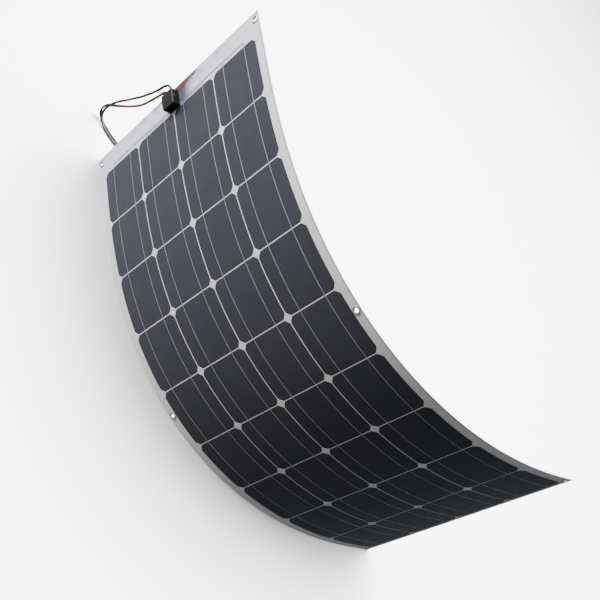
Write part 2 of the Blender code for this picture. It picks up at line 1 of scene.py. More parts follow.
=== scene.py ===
# %% [markdown]
# # A flexible solar sheet
#
# This lesson dresses the fixed frame of a flexible solar sheet: a thin laminate of four strings
# of nine cells, bent into a wide arc and stood on one long edge. The frame is loaded first. Its
# solids are facets and plain colours, so each one that shows is given a smooth piece that stands
# for it.

import math

import bmesh
import bpy
import numpy as np
from mathutils import Matrix, Vector


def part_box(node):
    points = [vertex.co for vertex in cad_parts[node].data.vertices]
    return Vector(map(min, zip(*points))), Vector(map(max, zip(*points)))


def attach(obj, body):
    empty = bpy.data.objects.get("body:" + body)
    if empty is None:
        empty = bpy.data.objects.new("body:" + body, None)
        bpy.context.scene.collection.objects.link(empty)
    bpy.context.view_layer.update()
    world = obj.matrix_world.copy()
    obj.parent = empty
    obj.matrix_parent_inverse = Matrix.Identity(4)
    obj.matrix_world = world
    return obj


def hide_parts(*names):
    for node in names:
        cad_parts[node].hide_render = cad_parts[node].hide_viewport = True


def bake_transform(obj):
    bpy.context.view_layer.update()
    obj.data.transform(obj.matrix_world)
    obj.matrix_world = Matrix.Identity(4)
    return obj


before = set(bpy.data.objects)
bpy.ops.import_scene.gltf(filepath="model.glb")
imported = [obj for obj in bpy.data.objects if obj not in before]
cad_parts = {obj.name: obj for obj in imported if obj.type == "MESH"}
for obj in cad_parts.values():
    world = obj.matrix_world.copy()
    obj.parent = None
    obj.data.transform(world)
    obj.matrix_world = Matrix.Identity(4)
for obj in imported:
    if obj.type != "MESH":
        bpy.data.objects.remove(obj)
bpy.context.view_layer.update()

# %% [markdown]
# ## The rule that bends the sheet
#
# On the real thing everything is laminated flat, and the finished sheet is then bent. It is
# easiest to do the same here: each layer is drawn flat by its distance along the sheet, its
# distance across it and its height above the back, and one rule bends them all. The rule gives
# the angle that the sheet has turned at a distance along it, and adding up small steps in that
# direction gives the curve. The frame has the same rule in 47 flat facets; here the steps are
# half a millimetre, so the curve is smooth.

# %% The bend, in metres and radians
ROWS, COLUMNS = 9, 4
CELL, CELL_GAP, CELL_CUT = 0.125, 0.002, 0.009
PITCH = CELL + CELL_GAP
BOX_MARGIN, FAR_MARGIN, SIDE_MARGIN = 0.050, 0.012, 0.019
LENGTH = BOX_MARGIN + ROWS * PITCH - CELL_GAP + FAR_MARGIN
WIDTH = COLUMNS * PITCH - CELL_GAP + 2 * SIDE_MARGIN
FIELD_START = BOX_MARGIN - CELL_GAP / 2
FIELD_HALF = ROWS * PITCH / 2
FIRST_CELL = SIDE_MARGIN - CELL_GAP / 2

STEPS_PER_METRE, SPARE_STEPS = 2000, 20
fine = np.arange(-SPARE_STEPS, round(LENGTH * STEPS_PER_METRE) + SPARE_STEPS + 1) / STEPS_PER_METRE
share = (fine - FIELD_START - FIELD_HALF) / FIELD_HALF
TURN_LINEAR, TURN_SQUARE, TURN_CUBE = 1.010, 0.123, -0.266
turned = share * (TURN_LINEAR + share * (TURN_SQUARE + TURN_CUBE * share))
middle_turn = (turned[1:] + turned[:-1]) / 2
steps = np.diff(fine)
line = np.zeros((len(fine), 2))
line[1:, 0] = np.cumsum(np.cos(middle_turn) * steps)
line[1:, 1] = np.cumsum(np.sin(middle_turn) * steps)

on_sheet = (fine >= 0) & (fine <= LENGTH)
sheet_low, sheet_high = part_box("back_sheet")
line_middle = (line[on_sheet, 0].min() + line[on_sheet, 0].max()) / 2
line[:, 0] += (sheet_low.x + sheet_high.x) / 2 - line_middle
line[:, 1] += sheet_high.y - line[on_sheet, 1].max()


def place(along, across, height):
    """Where a point of the flat layout goes."""
    turn = np.interp(along, fine, turned)
    x = np.interp(along, fine, line[:, 0]) + math.sin(turn) * height
    y = np.interp(along, fine, line[:, 1]) - math.cos(turn) * height
    return Vector((x, y, across))


def stand(along, across, height):
    """A matrix with X along the sheet, Y across it and Z away from its face."""
    turn = float(np.interp(along, fine, turned))
    along_it, out = (math.cos(turn), math.sin(turn), 0), (math.sin(turn), -math.cos(turn), 0)
    axes = Matrix((along_it, (0, 0, 1), out)).transposed().to_4x4()
    return Matrix.Translation(place(along, across, height)) @ axes


def row_middle(row):
    return FIELD_START + (row - 0.5) * PITCH


gap = place(0, 0, 0) - Vector((sheet_low.x, sheet_high.y, 0))
print("box end is", round(gap.length * 1000, 2), "mm from the frame's")

# %% [markdown]
# ## Pieces cut at the rows
#
# The frame's nine rows turn against each other. Each layer is cut at the middle of every row: the
# two end pieces ride on the end rows, and the pieces between are bent to the sheet's curve and stay
# where they are. The cuts are open and their points agree, so no seam shows. The shading directions
# are taken while the layer is flat and are turned with it, which keeps long reflections unbroken
# across the cuts. A level face keeps its own direction, so that the softened rims beside it don't
# tilt its shading.


# %% Cutting, bending and hanging a layer
def shown(name, mesh, material):
    thing = bpy.data.objects.new(name, mesh)
    bpy.context.scene.collection.objects.link(thing)
    mesh.materials.clear()
    mesh.materials.append(material)
    return thing


def mesh_of(name, bm, angle=35.0):
    """A mesh with clean, outward faces, smooth but for edges sharper than the angle."""
    bmesh.ops.remove_doubles(bm, verts=bm.verts, dist=1e-6)
    bmesh.ops.recalc_face_normals(bm, faces=bm.faces)
    mesh = bpy.data.meshes.new(name)
    bm.to_mesh(mesh)
    bm.free()
    mesh.shade_smooth()
    mesh.set_sharp_from_angle(angle=math.radians(angle))
    return mesh


CUTS_PER_ROW, CUTS_IN_MARGIN = 40, 16
stations = [FIELD_START * i / CUTS_IN_MARGIN for i in range(CUTS_IN_MARGIN)]
stations += [FIELD_START + i * PITCH / CUTS_PER_ROW for i in range(ROWS * CUTS_PER_ROW + 1)]
stations += [LENGTH - FAR_MARGIN / 2, LENGTH]
ends = [-1.0, *[row_middle(row) for row in range(1, ROWS + 1)], LENGTH + 1.0]


def sliced(bm):
    """Cuts a flat layer across at every station it crosses."""
    xs = [vert.co.x for vert in bm.verts]
    for station in stations:
        if min(xs) + 1e-5 < station < max(xs) - 1e-5:
            bmesh.ops.bisect_plane(
                bm,
                geom=list(bm.verts) + list(bm.edges) + list(bm.faces),
                dist=1e-7,
                plane_co=(station, 0, 0),
                plane_no=(1, 0, 0),
            )
    return bm


def bend(mesh):
    """Bends a flat mesh and its shading, and keeps its flat layout and depth for the finishes."""
    count = len(mesh.vertices)
    flat = np.zeros(count * 3)
    mesh.vertices.foreach_get("co", flat)
    flat = flat.reshape(-1, 3)
    loops = len(mesh.loops)
    normals, owner = np.zeros(loops * 3), np.zeros(loops, int)
    mesh.corner_normals.foreach_get("vector", normals)
    mesh.loops.foreach_get("vertex_index", owner)
    normals = normals.reshape(-1, 3)
    faces, corners = np.zeros(len(mesh.polygons) * 3), np.zeros(len(mesh.polygons), int)
    mesh.polygons.foreach_get("normal", faces)
    mesh.polygons.foreach_get("loop_total", corners)
    faces = np.repeat(faces.reshape(-1, 3), corners, axis=0)
    level = np.abs(faces[:, 2]) > 0.9999
    normals[level] = faces[level]
    turn = np.interp(flat[:, 0], fine, turned)
    bent = np.empty_like(flat)
    bent[:, 0] = np.interp(flat[:, 0], fine, line[:, 0]) + np.sin(turn) * flat[:, 2]
    bent[:, 1] = np.interp(flat[:, 0], fine, line[:, 1]) - np.cos(turn) * flat[:, 2]
    bent[:, 2] = flat[:, 1]
    at = turn[owner]
    out = np.empty_like(normals)
    out[:, 0] = np.cos(at) * normals[:, 0] + np.sin(at) * normals[:, 2]
    out[:, 1] = np.sin(at) * normals[:, 0] - np.cos(at) * normals[:, 2]
    out[:, 2] = normals[:, 1]
    layout = mesh.uv_layers.new(name="flat")
    layout.data.foreach_set("uv", flat[owner][:, :2].astype(np.float32).ravel())
    depth = mesh.attributes.new("depth", "FLOAT", "POINT")
    depth.data.foreach_set("value", flat[:, 2].astype(np.float32))
    mesh.vertices.foreach_set("co", bent.ravel())
    mesh.update()
    mesh.normals_split_custom_set(out.tolist())


def hang(name, flat_mesh, material, stands_for):
    """Cuts a flat layer at the row middles and bends it; the end pieces follow the end rows."""
    count = faces = 0
    for part, (start, end) in enumerate(zip(ends, ends[1:])):
        bm = bmesh.new()
        bm.from_mesh(flat_mesh)
        away = [f for f in bm.faces if not start < f.calc_center_median().x < end]
        bmesh.ops.delete(bm, geom=away, context="FACES")
        if not bm.faces:
            bm.free()
            continue
        mesh = bpy.data.meshes.new(f"{name}_{part}")
        bm.to_mesh(mesh)
        bm.free()
        bend(mesh)
        piece = shown(f"{name}_{part}", mesh, material)
        if part == 0:
            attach(piece, "row_1")
        elif part == ROWS:
            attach(piece, f"row_{ROWS}")
        else:
            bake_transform(piece)
        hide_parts(*stands_for(part))
        count, faces = count + 1, faces + len(mesh.polygons)
    bpy.data.meshes.remove(flat_mesh)
    print(name, count, "pieces,", faces, "faces")


# %% [markdown]
# ## A small kit for finishes
#
# Every finish is a shader with its own pattern worked out from numbers. The laminate's patterns
# are laid out in its flat coordinates, in metres, so a cell's tone or a finger line stays on its
# cell however the sheet is bent. The loose pieces use object coordinates.


# %% Shader helpers
class Finish:
    """A Principled material and the nodes that feed it."""

    def __init__(self, name, **constants):
        self.material = bpy.data.materials.new(name)
        self.material.use_nodes = True
        self.tree = self.material.node_tree
        self.shader = self.tree.nodes["Principled BSDF"]
        for socket, value in constants.items():
            self.shader.inputs[socket.replace("_", " ")].default_value = value

    def node(self, kind, inputs=(), **settings):
        made = self.tree.nodes.new(kind)
        for key, value in settings.items():
            setattr(made, key, value)
        for key, value in dict(inputs).items():
            if isinstance(value, bpy.types.NodeSocket):
                self.tree.links.new(value, made.inputs[key])
            else:
                made.inputs[key].default_value = value
        return made

    def flat(self):
        """The flat layout's coordinates: along and across the sheet, in metres."""
        spot = self.node("ShaderNodeUVMap", uv_map="flat").outputs[0]
        split = self.node("ShaderNodeSeparateXYZ", {0: spot})
        return spot, split.outputs[0], split.outputs[1]

    def solid(self):
        return self.node("ShaderNodeTexCoord").outputs["Object"]

    def calc(self, operation, a, b=0.0):
        return self.node("ShaderNodeMath", {0: a, 1: b}, operation=operation).outputs[0]

    def both(self, a, b):
        return self.calc("MULTIPLY", a, b)

    def away(self, value, middle):
        """How far a value is from a middle, whichever side it is on."""
        return self.calc("ABSOLUTE", self.calc("SUBTRACT", value, middle))

    def noise(self, where, scale, detail=3.0, roughness=0.5):
        inputs = {"Vector": where, "Scale": scale, "Detail": detail, "Roughness": roughness}
        return self.node("ShaderNodeTexNoise", inputs).outputs["Fac"]

    def spread(self, value, low, high, to_low=0.0, to_high=1.0):
        inputs = {0: value, 1: low, 2: high, 3: to_low, 4: to_high}
        return self.node("ShaderNodeMapRange", inputs, clamp=True).outputs[0]

    def blend(self, share, first, second):
        made = self.node("ShaderNodeMix", data_type="RGBA")
        for key, value in ((0, share), (6, first), (7, second)):
            if isinstance(value, bpy.types.NodeSocket):
                self.tree.links.new(value, made.inputs[key])
            else:
                made.inputs[key].default_value = value if key == 0 else (*value, 1.0)
        return made.outputs[2]

    def bump(self, height, strength, distance, before=None):
        inputs = {"Strength": strength, "Distance": distance, "Height": height}
        made = self.node("ShaderNodeBump", inputs)
        if before is not None:
            self.tree.links.new(before, made.inputs["Normal"])
        return made.outputs[0]

    def feed(self, **sockets):
        for socket, value in sockets.items():
            self.tree.links.new(value, self.shader.inputs[socket.replace("_", " ")])
        return self.material


# %% [markdown]
# ## The laminate
#
# A white polyester back sheet and clear adhesive layers are pressed into one plate about two
# millimetres thick. It shows as a pale border round the cells and as the lines between them. Here
# it is one slab: a box with its four corners rounded by a bevel, a softer bevel round its rims,
# and six round holes for the eyelets, cut while it is flat.

# %% The laminate's slab
FACE, RIM = 0.0022, 0.0004
HOLE_SIDES, HOLE_CLEARANCE = 40, 0.0009
CORNER_RADIUS = 0.0025
EYELET_EDGE, EYELET_BOX_END, EYELET_FAR_END = 0.0105, 0.016, 0.012
EYELET_MIDDLE = 0.605
EYELET_BORE, EYELET_FLANGE, EYELET_BACK = 0.0040, 0.0080, 0.0066

eyelets = [
    (f"eyelet_{end}_{side}", row, along, across)
    for end, row, along in (
        ("box_end", 1, EYELET_BOX_END),
        ("middle", 5, EYELET_MIDDLE),
        ("far_end", ROWS, LENGTH - EYELET_FAR_END),
    )
    for side, across in (("low", EYELET_EDGE), ("high", WIDTH - EYELET_EDGE))
]


def bevel(bm, edges, offset, segments):
    return bmesh.ops.bevel(
        bm,
        geom=list(edges),
        offset=offset,
        segments=segments,
        profile=0.5,
        affect="EDGES",
        material=-1,
    )


def upright(bm):
    return [e for e in bm.edges if abs(e.verts[0].co.z - e.verts[1].co.z) > 1e-6]


def plate(low, high, corner=0.0, corner_steps=6):
    """A flat box between two corners, with its upright edges cut or rounded."""
    bm = bmesh.new()
    size, middle = Vector(high) - Vector(low), (Vector(high) + Vector(low)) / 2
    stretch = Matrix.Translation(middle) @ Matrix.Diagonal(size).to_4x4()
    bmesh.ops.create_cube(bm, size=1.0, matrix=stretch)
    if corner:
        bevel(bm, upright(bm), corner, corner_steps)
    return bm


def rim_edges(bm, height):
    """The edges that lie at this height and border an upright side."""
    found = []
    for edge in bm.edges:
        if all(abs(vert.co.z - height) < 1e-7 for vert in edge.verts):
            if any(abs(face.normal.z) < 0.5 for face in edge.link_faces):
                found.append(edge)
    return found


def punched(bm, name, radius):
    """Cuts the eyelet holes and returns the mesh."""
    body = bpy.data.objects.new(name, mesh_of(name, bm))
    tool = bmesh.new()
    for _, _, along, across in eyelets:
        bmesh.ops.create_cone(
            tool,
            cap_ends=True,
            segments=HOLE_SIDES,
            radius1=radius,
            radius2=radius,
            depth=10 * FACE,
            matrix=Matrix.Translation((along, across, 0.0)),
        )
    cutter = bpy.data.objects.new(name + "_tool", mesh_of(name + "_tool", tool))
    for thing in (body, cutter):
        bpy.context.scene.collection.objects.link(thing)
    cut = body.modifiers.new("cut", "BOOLEAN")
    cut.operation, cut.solver, cut.object = "DIFFERENCE", "EXACT", cutter
    graph = bpy.context.evaluated_depsgraph_get()
    mesh = bpy.data.meshes.new_from_object(body.evaluated_get(graph))
    for thing in (body, cutter):
        bpy.data.objects.remove(thing, do_unlink=True)
    bm = bmesh.new()
    bm.from_mesh(mesh)
    bpy.data.meshes.remove(mesh)
    return mesh_of(name, sliced(bm))


bm = plate((0, 0, 0), (LENGTH, WIDTH, FACE), CORNER_RADIUS)
bm.normal_update()
bevel(bm, rim_edges(bm, 0.0) + rim_edges(bm, FACE), RIM, 2)
laminate_mesh = punched(bm, "laminate", EYELET_BORE + HOLE_CLEARANCE)
print("laminate", len(laminate_mesh.polygons), "faces, lying flat")

# %% [markdown]
# The border is near white, slightly clouded where the adhesive melted. Its tint is painted light
# and shade: a lavender cast near the box, where the light is strong, and a creamy one further on,
# where it is dimmer. The tones are mixed by the distance along the sheet, and the clouding is a
# broad noise. The pressed film over them is lightly embossed, which a fine noise gives as a bump.
# A map of the flat layout is all that these patterns need.

# %% The laminate's whites
laminate = Finish("white_laminate", Coat_Weight=0.35, Coat_Roughness=0.30, IOR=1.48)
spot, along, across = laminate.flat()
cloud = laminate.noise(spot, 9.0, 4.0)
# Painted light and shade: lavender for the lit end by the box, cream for the dimmer part beyond.
lit_lavender = laminate.blend(cloud, (0.80, 0.78, 0.86), (0.88, 0.87, 0.91))
shaded_cream = laminate.blend(cloud, (0.76, 0.775, 0.68), (0.85, 0.86, 0.78))
lit_to_shaded = laminate.spread(along, 0.06, 0.45)
white = laminate.blend(lit_to_shaded, lit_lavender, shaded_cream)
emboss = laminate.noise(spot, 620.0, 2.0)
clouded = laminate.bump(cloud, 0.25, 0.002)
embossed = laminate.bump(emboss, 0.12, 0.0003, clouded)
laminate_rough = laminate.spread(cloud, 0.3, 0.7, 0.36, 0.46)

# %% [markdown]
# The margin by the box carries a ragged red mark on the very edge. The other marks there are
# painted light and shade: bluish patches of painted reflection along the short edge, a dark pool
# of painted shade and reflection of the box above it, a thin grey line of painted shade along
# each feed ribbon, where it lifts the film, and a darker lavender line of painted shade along the
# trimmed rim. Each mark is a mask, made from distances in the flat layout and roughened by a
# noise, and the masks lay one colour after another over the white. The height that each point
# had in the flat layer keeps all but the rim line on the face and off the back.

# %% The laminate's red mark and painted light and shade
BOX_OFFSET, FEED_SETBACK, BUSBAR_INSET = 0.0065, 0.0085, 0.031
STAIN_AND_SHADE_START = WIDTH / 2 + BOX_OFFSET + 0.0180
RED_LENGTH = 0.078
depth = laminate.node("ShaderNodeAttribute", attribute_name="depth").outputs["Fac"]
on_face = laminate.calc("GREATER_THAN", depth, FACE / 2)


# Lays a colour over the base on the face only, for the red mark and the painted reflection and
# shade.
def lay_stain_and_painted_light(mask, colour, base):
    return laminate.blend(laminate.both(mask, on_face), base, colour)


# Painted reflection: bluish patches along the short edge, fading away from the box.
near_edge = laminate.spread(along, 0.006, 0.044, 1.0, 0.0)
patches = laminate.spread(laminate.noise(spot, 22.0, 3.0), 0.45, 0.60)
from_box = laminate.away(across, WIDTH / 2 - 0.010)
fading = laminate.spread(from_box, 0.04, 0.20, 1.0, 0.2)
painted_reflection = laminate.both(laminate.both(near_edge, patches), fading)

# Painted shade: a thin grey line along each feed ribbon, where it lifts the film.
off_feed = laminate.away(along, BOX_MARGIN - FEED_SETBACK)
off_centre = laminate.away(across, WIDTH / 2)
in_reach = laminate.calc("LESS_THAN", off_centre, WIDTH / 2 - SIDE_MARGIN - BUSBAR_INSET)
feed_shade = laminate.both(laminate.spread(off_feed, 0.0014, 0.0028, 0.85, 0.0), in_reach)

# Painted shade and reflection of the box: a dark pool on the margin above it.
above_box = laminate.calc("GREATER_THAN", across, STAIN_AND_SHADE_START - 0.010)
painted_box_shade = laminate.spread(across, STAIN_AND_SHADE_START + 0.016, STAIN_AND_SHADE_START + 0.050, 0.95, 0.0)
painted_box_shade = laminate.both(painted_box_shade, laminate.spread(along, 0.046, 0.060, 1.0, 0.0))
painted_box_shade = laminate.both(painted_box_shade, above_box)

ragged = laminate.both(laminate.noise(spot, 90.0, 3.0), 0.014)
taper = laminate.spread(across, STAIN_AND_SHADE_START, STAIN_AND_SHADE_START + RED_LENGTH, 0.012, -0.005)
past_red = laminate.calc("SUBTRACT", along, laminate.calc("ADD", taper, ragged))
red_mark = laminate.both(laminate.spread(past_red, -0.0015, 0.0005, 0.9, 0.0), above_box)
below_tip = laminate.calc("LESS_THAN", across, STAIN_AND_SHADE_START + RED_LENGTH)
red_mark = laminate.both(red_mark, below_tip)

# Painted shade: a darker lavender line along the top edge and the box end.
from_top = laminate.calc("SUBTRACT", WIDTH, across)
from_end = laminate.calc("ADD", along, 0.001)
from_rim = laminate.calc("MINIMUM", from_top, from_end)
rim_shade = laminate.spread(from_rim, 0.0022, 0.0034, 0.85, 0.0)

# The red mark is the sheet's own colour; the other layers are painted reflection and shade.
tinted = lay_stain_and_painted_light(painted_reflection, (0.26, 0.32, 0.60), white)
tinted = lay_stain_and_painted_light(feed_shade, (0.22, 0.22, 0.26), tinted)
tinted = lay_stain_and_painted_light(painted_box_shade, (0.028, 0.031, 0.085), tinted)
tinted = lay_stain_and_painted_light(red_mark, (0.085, 0.007, 0.008), tinted)
tinted = laminate.blend(rim_shade, tinted, (0.22, 0.20, 0.30))
laminate_look = laminate.feed(
    Base_Color=tinted,
    Roughness=laminate_rough,
    Normal=embossed,
    Coat_Normal=embossed,
)
hang("laminate", laminate_mesh, laminate_look, lambda part: ["back_sheet"])

# %% [markdown]
# ## The cells
#
# Each cell is a thin wafer, nearly square, with its corners cut off because it was sliced from a
# round ingot. One wafer is a box whose upright edges are bevelled flat, then softened a little.
# It is copied to its 36 places and sliced with the sheet. It stands only a tenth of a millimetre
# proud of the white, as the film presses it in.

# %% The cells
SUNK, CELL_TOP = FACE - 0.0002, FACE + 0.00012
CUT_SOFTENING = 0.0022


def add_to(bm, piece):
    """Joins a finished bmesh into a larger one."""
    mesh = mesh_of("part", piece)
    bm.from_mesh(mesh)
    bpy.data.meshes.remove(mesh)


all_cells = bmesh.new()
for row in range(ROWS):
    for column in range(COLUMNS):
        x, y = BOX_MARGIN + row * PITCH, SIDE_MARGIN + column * PITCH
        one = plate((x, y, SUNK), (x + CELL, y + CELL, CELL_TOP), CELL_CUT, 1)
        bevel(one, upright(one), CUT_SOFTENING, 3)
        add_to(all_cells, sliced(one))
cell_mesh = mesh_of("cells", all_cells)
print(ROWS * COLUMNS, "cells,", len(cell_mesh.polygons), "faces, lying flat")

# %% [markdown]
# The silicon is a blue so dark that it reads as black, and no two cells have quite the same
# tone, so a random number for each cell mixes two darks. Silver fingers a tenth of a millimetre
# wide cross it every two millimetres; they are so fine that they are drawn faint. The clear film
# makes it look grey on one side and black on the other, and that gloss is a coat. Slow waves in
# the coat break up its reflections.

# %% The cells' finish
silicon = Finish("silicon", Coat_Weight=0.7, Coat_Roughness=0.22, Coat_IOR=1.45, IOR=1.4)
spot, along, across = silicon.flat()


def cell_number(distance, first_edge):
    pitches = silicon.calc("DIVIDE", silicon.calc("SUBTRACT", distance, first_edge), PITCH)
    return silicon.calc("FLOOR", pitches)


numbers = {0: cell_number(along, FIELD_START), 1: cell_number(across, FIRST_CELL)}
which = silicon.node("ShaderNodeCombineXYZ", numbers).outputs[0]
chance = silicon.node("ShaderNodeTexWhiteNoise", {"Vector": which}).outputs["Value"]
dark = silicon.blend(chance, (0.0075, 0.0080, 0.0130), (0.0125, 0.0135, 0.0220))
grain = silicon.noise(spot, 40.0, 5.0)
dark = silicon.blend(silicon.spread(grain, 0.35, 0.7, 0.0, 0.35), dark, (0.018, 0.019, 0.028))

FINGER_PITCH, FINGER_SHARE, FINGER_STRENGTH = 0.0021, 0.055, 0.16
along_finger = silicon.calc("FRACT", silicon.calc("DIVIDE", along, FINGER_PITCH))
finger = silicon.both(silicon.calc("LESS_THAN", along_finger, FINGER_SHARE), FINGER_STRENGTH)
dark = silicon.blend(finger, dark, (0.30, 0.31, 0.34))

waves = silicon.bump(silicon.noise(spot, 7.0, 2.0), 0.5, 0.004)
pressed = silicon.bump(silicon.noise(spot, 620.0, 2.0), 0.10, 0.0003, waves)
cell_rough = silicon.spread(grain, 0.3, 0.7, 0.30, 0.42)
cell_look = silicon.feed(Base_Color=dark, Roughness=cell_rough, Normal=pressed, Coat_Normal=pressed)


def cell_nodes(part):
    """The frame's cells that this piece of the layer stands for."""
    rows = [row for row in (part, part + 1) if 1 <= row <= ROWS]
    return [f"cell_row{row}_string{column}" for row in rows for column in range(1, COLUMNS + 1)]


hang("cells", cell_mesh, cell_look, cell_nodes)

# %% [markdown]
# ## Busbars and ribbons
#
# Two tinned strips run along each string and carry its current from cell to cell. Across the ends
# wider ribbons join the strings: at the box end a link between the two middle strings and two
# feeds that lead to the box, and at the far end two links. All are flat strips, so each one is
# a thin box laid on the cells.

# %% The strips
BUSBAR, RIBBON, LINK_SETBACK = 0.0017, 0.0022, 0.0035
FEED_GAP = 0.0065  # from the middle of the box to the end of a feed ribbon
STRIP_TOP = CELL_TOP + 0.00006
all_strips = bmesh.new()


def strip(x0, x1, y0, y1):
    add_to(all_strips, sliced(plate((x0, y0, SUNK), (x1, y1, STRIP_TOP))))


bars = [
    SIDE_MARGIN + column * PITCH + inset
    for column in range(COLUMNS)
    for inset in (BUSBAR_INSET, CELL - BUSBAR_INSET)
]
box_middle = WIDTH / 2 + BOX_OFFSET
link_at, feed_at = BOX_MARGIN - LINK_SETBACK, BOX_MARGIN - FEED_SETBACK
far_at = LENGTH - FAR_MARGIN + LINK_SETBACK
for number, bar in enumerate(bars):
    in_outer_string = number in (0, 1, 6, 7)
    strip(feed_at if in_outer_string else link_at, far_at, bar - BUSBAR / 2, bar + BUSBAR / 2)
for x, y0, y1 in (
    (link_at, bars[2], bars[5]),
    (feed_at, bars[0], box_middle - FEED_GAP),
    (feed_at, box_middle + FEED_GAP, bars[7]),
    (far_at, bars[0], bars[3]),
    (far_at, bars[4], bars[7]),
):
    strip(x - RIBBON / 2, x + RIBBON / 2, y0 - BUSBAR / 2, y1 + BUSBAR / 2)
strip_mesh = mesh_of("strips", all_strips)
print(len(bars), "busbars and 5 ribbons,", len(strip_mesh.polygons), "faces, lying flat")

# %% [markdown]
# Tinned copper is a dull, slightly uneven metal. Its tone, roughness and bump come from one fine
# noise, so that they agree, and a coat stands for the film that lies over it.

# %% The strips' finish
tinned = Finish("tinned_copper", Metallic=1.0, Coat_Weight=0.6, Coat_Roughness=0.25)
spot, along, across = tinned.flat()
tin = tinned.noise(spot, 180.0, 4.0)
strip_look = tinned.feed(
    Base_Color=tinned.blend(tin, (0.46, 0.47, 0.49), (0.62, 0.62, 0.63)),
    Roughness=tinned.spread(tin, 0.3, 0.7, 0.36, 0.52),
    Normal=tinned.bump(tin, 0.35, 0.0002),
)


def ribbon_nodes(part):
    near = ["feed_ribbon_low", "feed_ribbon_high", "link_ribbon_box_end"]
    far = ["link_ribbon_far_low", "link_ribbon_far_high"]
    return near if part == 0 else far if part == ROWS else []


hang("strips", strip_mesh, strip_look, ribbon_nodes)

# %% [markdown]
# ## The front film
#
# A clear film covers the cells and is trimmed a little inside the edge. It is so clear that only
# a trace of milkiness shows, so it is a thin plate that lets nearly all the light through. The
# gloss that belongs to it is on what lies under it, because a see-through plate would lose it.

# %% The film
FILM_LOW, FILM_HIGH, FILM_INSET = 0.00245, 0.0026, 0.0008
bm = plate(
    (FILM_INSET, FILM_INSET, FILM_LOW),
    (LENGTH - FILM_INSET, WIDTH - FILM_INSET, FILM_HIGH),
    CORNER_RADIUS - FILM_INSET,
)
film_mesh = punched(bm, "film", EYELET_BORE + HOLE_CLEARANCE)
clear = Finish("clear_film", Alpha=0.015, Roughness=0.35, IOR=1.45)
spot, along, across = clear.flat()
film_look = clear.feed(
    Base_Color=clear.blend(clear.noise(spot, 14.0, 3.0), (0.72, 0.74, 0.80), (0.86, 0.87, 0.90)),
    Normal=clear.bump(clear.noise(spot, 620.0, 2.0), 0.15, 0.0003),
)
hang("film", film_mesh, film_look, lambda part: ["front_sheet"])

# %% [markdown]
# ## The eyelets
#
# A nickel-plated eyelet is pressed through each hole: a thin barrel whose ends are rolled over
# into a wide flange at the front and a smaller one at the back. Its section is one closed
# outline, and turning it about its axis makes the ring. The plating is worn a little unevenly.

# %% The eyelets
EYELET_SIDES = 56
ring_section = [
    (EYELET_BORE + 0.0006, FILM_HIGH + 0.00005),
    (EYELET_FLANGE - 0.0002, FILM_HIGH + 0.00005),
    (EYELET_FLANGE, FILM_HIGH + 0.00025),
    (EYELET_FLANGE - 0.0005, FILM_HIGH + 0.0007),
    (EYELET_FLANGE - 0.0016, FILM_HIGH + 0.0010),
    (EYELET_BORE + 0.0016, FILM_HIGH + 0.0010),
    (EYELET_BORE + 0.0006, FILM_HIGH + 0.0007),
    (EYELET_BORE, FILM_HIGH - 0.0002),
    (EYELET_BORE, -0.0002),
    (EYELET_BORE + 0.0006, -0.0009),
    (EYELET_BACK - 0.0004, -0.0010),
    (EYELET_BACK, -0.0006),
    (EYELET_BACK - 0.0002, -0.00005),
    (EYELET_BORE + 0.0006, -0.00005),
]


def spun(points, closed, sides):
    """Turns a section of (radius, height) points about Z."""
    bm = bmesh.new()
    verts = [bm.verts.new((radius, 0.0, height)) for radius, height in points]
    pairs = list(zip(verts, verts[1:])) + ([(verts[-1], verts[0])] if closed else [])
    edges = [bm.edges.new(pair) for pair in pairs]
    bmesh.ops.spin(
        bm,
        geom=verts + edges,
        cent=(0, 0, 0),
        axis=(0, 0, 1),
        angle=2 * math.pi,
        steps=sides,
        use_merge=True,
        use_duplicate=False,
    )
    return bm


def placed(name, bm, matrix, body, material, stands_for=(), angle=40.0):
    """Puts a finished bmesh in its place, where it follows one body of the frame."""
    bmesh.ops.transform(bm, matrix=matrix, verts=bm.verts)
    thing = shown(name, mesh_of(name, bm, angle), material)
    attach(thing, body)
    if stands_for:
        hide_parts(*stands_for)
    return thing


nickel = Finish("nickel_plate", Metallic=1.0, IOR=1.5)
wear = nickel.noise(nickel.solid(), 260.0, 4.0)
nickel_look = nickel.feed(
    Base_Color=nickel.blend(wear, (0.60, 0.59, 0.57), (0.76, 0.75, 0.73)),
    Roughness=nickel.spread(wear, 0.3, 0.7, 0.22, 0.38),
    Normal=nickel.bump(wear, 0.10, 0.0003),
)

for name, row, along, across in eyelets:
    bm, body = spun(ring_section, True, EYELET_SIDES), f"row_{row}"
    spot = stand(along, across, 0.0)
    placed("rolled_" + name, bm, spot, body, nickel_look, [name], 50.0)
print(len(eyelets), "eyelets")

# %% [markdown]
# ## The junction box
#
# A small black box is stuck to the margin, off the middle of the short edge. It is a hollow base
# in a bead of black sealant, with a lid held by a tab on each side. All of the box is drawn lying
# on its foot, then stood on the sheet. The lid is a shade glossier and paler than the base. The
# paler lid is painted light for its lit face, and the darker base is painted shade on its sides.


# %% The plastic
def moulded_plastic(name, tones, roughness, scales, **constants):
    """Black plastic: mottled in tone and gloss, with a finely pebbled skin."""
    finish = Finish(name, **constants)
    where = finish.solid()
    mottle, pebble = finish.noise(where, scales[0], 3.0), finish.noise(where, scales[1], 2.0)
    return finish.feed(
        Base_Color=finish.blend(mottle, *tones),
        Roughness=finish.spread(mottle, 0.3, 0.7, *roughness),
        Normal=finish.bump(pebble, 0.2, 0.0002),
    )


